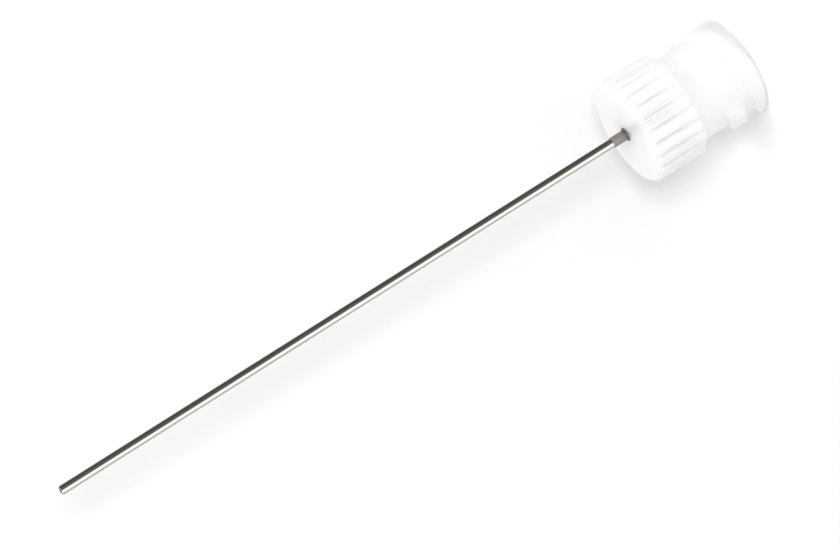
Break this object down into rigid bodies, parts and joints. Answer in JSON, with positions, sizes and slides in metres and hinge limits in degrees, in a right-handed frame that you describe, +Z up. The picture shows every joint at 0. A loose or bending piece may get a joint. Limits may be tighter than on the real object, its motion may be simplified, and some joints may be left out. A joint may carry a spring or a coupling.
{
  "type": "blunt medical needle with lock hub",
  "caption": "Blunt, square-cut steel tube needle bonded into a translucent moulded hub with a fluted collar, an external lock thread and a tapered socket.",
  "frame": {"origin": "centre of the socket's mouth, on the surface that the needle stands on", "axes": "+Z up, along the needle's axis from the mouth of the hub's socket to the tip. A needle that lies on a table rolls, so it stands on the flat ring round its mouth, with the tube straight up. -Y is the side that the picture shows"},
  "size_m": [0.0082, 0.0082, 0.0587],
  "materials": {
    "steel_tube": "polished",
    "natural_plastic": "satin",
    "cured_adhesive": "matte"
  },
  "bodies": {
    "root": {"cannula": "steel_tube", "hub": "natural_plastic", "adhesive_bond": "cured_adhesive"}
  },
  "joints": []
}
